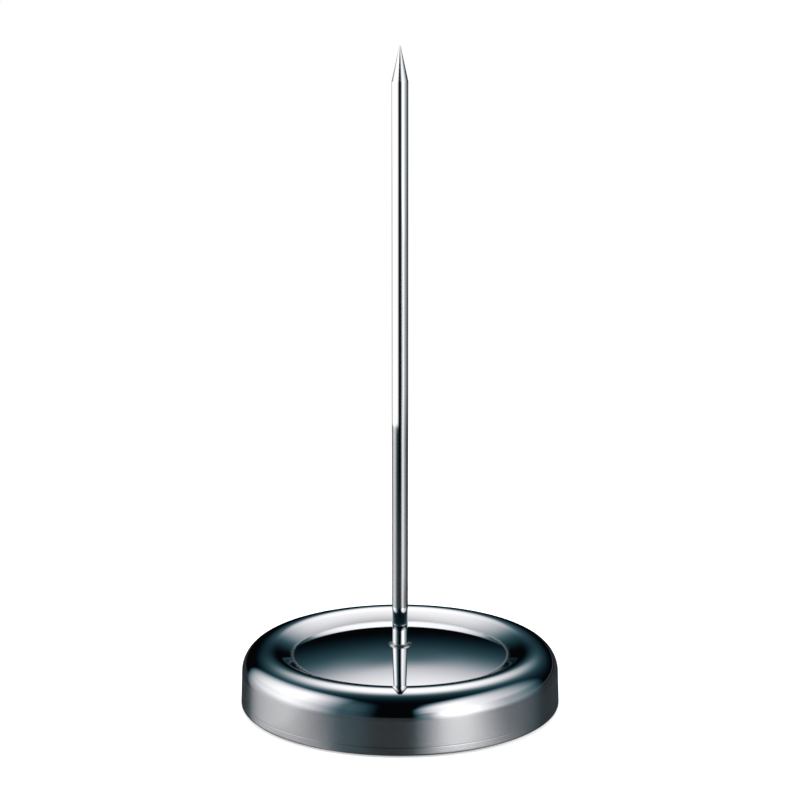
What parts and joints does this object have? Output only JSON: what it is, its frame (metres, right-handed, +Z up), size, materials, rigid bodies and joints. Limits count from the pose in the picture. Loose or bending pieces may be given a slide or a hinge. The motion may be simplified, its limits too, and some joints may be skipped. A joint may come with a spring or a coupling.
{
  "type": "bill spike",
  "caption": "Desk spike for bills and slips: a pointed polished steel rod on a round weighted base with a rolled rim, a rounded crest and a shallow dished top.",
  "frame": {"origin": "middle of the underside, on the table", "axes": "+Z up along the spike, from the table to the point; the base is round, so X and Y are free, with the picture taken from -Y"},
  "size_m": [0.08, 0.08, 0.1634],
  "materials": {
    "polished_steel": "mirror polished",
    "cast_iron": "rough as cast",
    "zinc_plated_steel": "dull zinc plating",
    "rubber": "matte"
  },
  "bodies": {
    "root": {"base_shell": "polished_steel", "spike": "polished_steel", "spike_collar": "polished_steel", "ballast": "cast_iron", "flat_washer": "zinc_plated_steel", "spring_washer": "zinc_plated_steel", "hex_nut": "zinc_plated_steel", "foot_pad": "rubber"}
  },
  "joints": []
}
